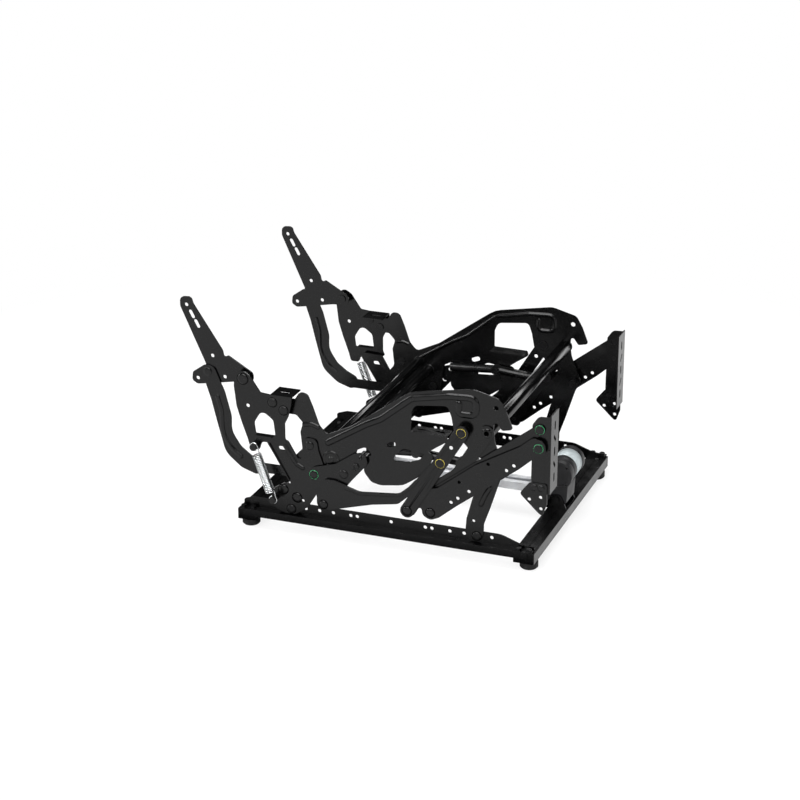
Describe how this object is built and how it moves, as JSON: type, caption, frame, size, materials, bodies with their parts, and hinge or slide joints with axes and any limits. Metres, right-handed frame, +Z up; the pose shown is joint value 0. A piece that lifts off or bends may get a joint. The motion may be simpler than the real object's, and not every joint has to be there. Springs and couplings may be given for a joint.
{
  "type": "power recliner mechanism",
  "caption": "Black steel recliner chair mechanism: floor frame, mirrored side linkages for seat, back and footrest, return springs and a screw actuator.",
  "frame": {"origin": "on the floor, in the middle of the bounding box", "axes": "+X to the front of the chair, +Y to its left, +Z up"},
  "size_m": [0.783, 0.5896, 0.4835],
  "materials": {
    "black_steel": "semi-gloss black powder coat",
    "black_rivet": "black coated steel",
    "black_tube": "semi-gloss black powder coat",
    "spring_wire": "bright zinc-plated wire",
    "track_metal": "plain extruded aluminium",
    "motor_can": "zinc-plated can with a plain sleeve",
    "screw_steel": "bright steel",
    "black_plastic": "moulded black plastic",
    "foot_rubber": "black rubber"
  },
  "bodies": {
    "base": {"front_cross_rail": "black_steel", "rear_cross_rail": "black_steel", "base_rail_right": "black_steel", "base_rail_left": "black_steel", "corner_bolts": "black_rivet", "feet": "foot_rubber", "base_rivets": "black_rivet", "motor_bracket": "black_steel", "gearbox": "black_plastic", "drive_motor": "motor_can", "motor_end_cap": "black_plastic", "actuator_track": "track_metal", "lead_screw": "screw_steel", "track_end_cap": "black_plastic"},
    "carriage": {"drive_carriage": "black_plastic"},
    "rear_swing": {"rear_swing_link_right": "black_steel", "rear_swing_link_left": "black_steel", "rear_swing_tube": "black_tube", "return_spring_right": "spring_wire", "return_spring_left": "spring_wire"},
    "seat": {"seat_plate_right": "black_steel", "seat_plate_left": "black_steel", "back_support_right": "black_steel", "back_support_left": "black_steel", "rear_tube_upper": "black_tube", "rear_tube_lower": "black_tube", "plate_spacers": "black_rivet", "seat_rivets": "black_rivet"},
    "footrest_front": {"front_footrest_link_right": "black_steel", "front_footrest_link_left": "black_steel", "footrest_torque_tube": "black_tube", "front_link_rivets": "black_rivet"},
    "crank": {"drive_crank_right": "black_steel", "drive_crank_left": "black_steel", "drive_tube": "black_tube", "crank_rivets": "black_rivet"},
    "front_swing_right": {"front_swing_link_right": "black_steel"},
    "footrest_rear_right": {"rear_footrest_link_right": "black_steel", "rear_link_rivets_right": "black_rivet"},
    "outer_arm_right": {"outer_footrest_arm_right": "black_steel"},
    "upper_arm_right": {"upper_footrest_arm_right": "black_steel"},
    "footrest_right": {"footrest_bracket_right": "black_steel", "footrest_rivets_right": "black_rivet", "toe_plate_right": "black_steel"},
    "drive_link_right": {"drive_link_right": "black_steel"},
    "back_right": {"back_bracket_right": "black_steel"},
    "back_link_right": {"back_link_right": "black_steel"},
    "back_lever_right": {"back_lever_right": "black_steel"},
    "front_swing_left": {"front_swing_link_left": "black_steel"},
    "footrest_rear_left": {"rear_footrest_link_left": "black_steel", "rear_link_rivets_left": "black_rivet"},
    "outer_arm_left": {"outer_footrest_arm_left": "black_steel"},
    "upper_arm_left": {"upper_footrest_arm_left": "black_steel"},
    "footrest_left": {"footrest_bracket_left": "black_steel", "footrest_rivets_left": "black_rivet", "toe_plate_left": "black_steel"},
    "drive_link_left": {"drive_link_left": "black_steel"},
    "back_left": {"back_bracket_left": "black_steel"},
    "back_link_left": {"back_link_left": "black_steel"},
    "back_lever_left": {"back_lever_left": "black_steel"}
  },
  "joints": [
    {"name": "rear_swing", "type": "hinge", "parent": "base", "child": "rear_swing", "pos_m": [-0.15351, 0, 0.057], "axis": [0, 1, 0], "range_deg": [0, 15]},
    {"name": "seat_level", "type": "hinge", "parent": "rear_swing", "child": "seat", "pos_m": [-0.11151, 0, 0.202], "axis": [0, 1, 0], "range_deg": [-15, 0], "deforming": ["return_spring_right", "return_spring_left"]},
    {"name": "footrest_open", "type": "hinge", "parent": "seat", "child": "footrest_front", "pos_m": [0.26149, 0, 0.282], "axis": [0, -1, 0], "range_deg": [0, 85]},
    {"name": "crank_turn", "type": "hinge", "parent": "seat", "child": "crank", "pos_m": [-0.03651, 0, 0.152], "axis": [0, -1, 0], "range_deg": [0, 85]},
    {"name": "carriage_slide", "type": "slide", "parent": "base", "child": "carriage", "axis": [1, 0, 0], "range_m": [0, 0.0892]},
    {"name": "front_swing_right", "type": "hinge", "parent": "base", "child": "front_swing_right", "pos_m": [0.24149, -0.262, 0.057], "axis": [0, 1, 0], "range_deg": [0, 15]},
    {"name": "rear_link_right", "type": "hinge", "parent": "seat", "child": "footrest_rear_right", "pos_m": [0.21349, -0.262, 0.28], "axis": [0, -1, 0], "range_deg": [0, 85]},
    {"name": "outer_arm_right", "type": "hinge", "parent": "footrest_front", "child": "outer_arm_right", "pos_m": [0.14951, -0.262, 0.09999], "axis": [0, -1, 0], "range_deg": [-85, 0]},
    {"name": "upper_arm_right", "type": "hinge", "parent": "footrest_front", "child": "upper_arm_right", "pos_m": [0.14951, -0.262, 0.13699], "axis": [0, -1, 0], "range_deg": [-85, 0]},
    {"name": "footrest_tilt_right", "type": "hinge", "parent": "outer_arm_right", "child": "footrest_right", "pos_m": [0.36951, -0.262, 0.26899], "axis": [0, -1, 0], "range_deg": [0, 85]},
    {"name": "drive_link_right", "type": "hinge", "parent": "crank", "child": "drive_link_right", "pos_m": [-0.07948, -0.262, 0.08216], "axis": [0, -1, 0], "range_deg": [-85, 0]},
    {"name": "front_swing_left", "type": "hinge", "parent": "base", "child": "front_swing_left", "pos_m": [0.24149, 0.262, 0.057], "axis": [0, 1, 0], "range_deg": [0, 15]},
    {"name": "rear_link_left", "type": "hinge", "parent": "seat", "child": "footrest_rear_left", "pos_m": [0.21349, 0.262, 0.28], "axis": [0, -1, 0], "range_deg": [0, 85]},
    {"name": "outer_arm_left", "type": "hinge", "parent": "footrest_front", "child": "outer_arm_left", "pos_m": [0.14951, 0.262, 0.09999], "axis": [0, -1, 0], "range_deg": [-85, 0]},
    {"name": "upper_arm_left", "type": "hinge", "parent": "footrest_front", "child": "upper_arm_left", "pos_m": [0.14951, 0.262, 0.13699], "axis": [0, -1, 0], "range_deg": [-85, 0]},
    {"name": "footrest_tilt_left", "type": "hinge", "parent": "outer_arm_left", "child": "footrest_left", "pos_m": [0.36951, 0.262, 0.26899], "axis": [0, -1, 0], "range_deg": [0, 85]},
    {"name": "drive_link_left", "type": "hinge", "parent": "crank", "child": "drive_link_left", "pos_m": [-0.07948, 0.262, 0.08216], "axis": [0, -1, 0], "range_deg": [-85, 0]},
    {"name": "back_recline", "type": "hinge", "parent": "seat", "child": "back_right", "pos_m": [-0.25051, -0.2557, 0.33], "axis": [0, -1, 0], "range_deg": [0, 30]},
    {"name": "back_recline_left", "type": "hinge", "parent": "seat", "child": "back_left", "pos_m": [-0.25051, 0.2557, 0.33], "axis": [0, -1, 0], "range_deg": [0, 30]},
    {"name": "back_link_right", "type": "hinge", "parent": "back_right", "child": "back_link_right", "pos_m": [-0.33351, -0.262, 0.33], "axis": [0, -1, 0], "range_deg": [-30, 0]},
    {"name": "back_lever_right", "type": "hinge", "parent": "seat", "child": "back_lever_right", "pos_m": [-0.14351, -0.262, 0.135], "axis": [0, -1, 0], "range_deg": [0, 30]},
    {"name": "back_link_left", "type": "hinge", "parent": "back_left", "child": "back_link_left", "pos_m": [-0.33351, 0.262, 0.33], "axis": [0, -1, 0], "range_deg": [-30, 0]},
    {"name": "back_lever_left", "type": "hinge", "parent": "seat", "child": "back_lever_left", "pos_m": [-0.14351, 0.262, 0.135], "axis": [0, -1, 0], "range_deg": [0, 30]}
  ],
  "couplings": [
    {"joint": "rear_swing", "follows": "footrest_open", "ratio": 0.17647},
    {"joint": "seat_level", "follows": "footrest_open", "ratio": -0.17647},
    {"joint": "crank_turn", "follows": "footrest_open", "ratio": 1},
    {"joint": "carriage_slide", "follows": "footrest_open", "m_per_rad": 0.06011},
    {"joint": "front_swing_right", "follows": "footrest_open", "ratio": 0.17647},
    {"joint": "rear_link_right", "follows": "footrest_open", "ratio": 1},
    {"joint": "outer_arm_right", "follows": "footrest_open", "ratio": -1},
    {"joint": "upper_arm_right", "follows": "footrest_open", "ratio": -1},
    {"joint": "footrest_tilt_right", "follows": "footrest_open", "ratio": 1},
    {"joint": "drive_link_right", "follows": "footrest_open", "ratio": -1},
    {"joint": "front_swing_left", "follows": "footrest_open", "ratio": 0.17647},
    {"joint": "rear_link_left", "follows": "footrest_open", "ratio": 1},
    {"joint": "outer_arm_left", "follows": "footrest_open", "ratio": -1},
    {"joint": "upper_arm_left", "follows": "footrest_open", "ratio": -1},
    {"joint": "footrest_tilt_left", "follows": "footrest_open", "ratio": 1},
    {"joint": "drive_link_left", "follows": "footrest_open", "ratio": -1},
    {"joint": "back_recline_left", "follows": "back_recline", "ratio": 1},
    {"joint": "back_link_right", "follows": "back_recline", "ratio": -1},
    {"joint": "back_lever_right", "follows": "back_recline", "ratio": 1},
    {"joint": "back_link_left", "follows": "back_recline", "ratio": -1},
    {"joint": "back_lever_left", "follows": "back_recline", "ratio": 1}
  ]
}
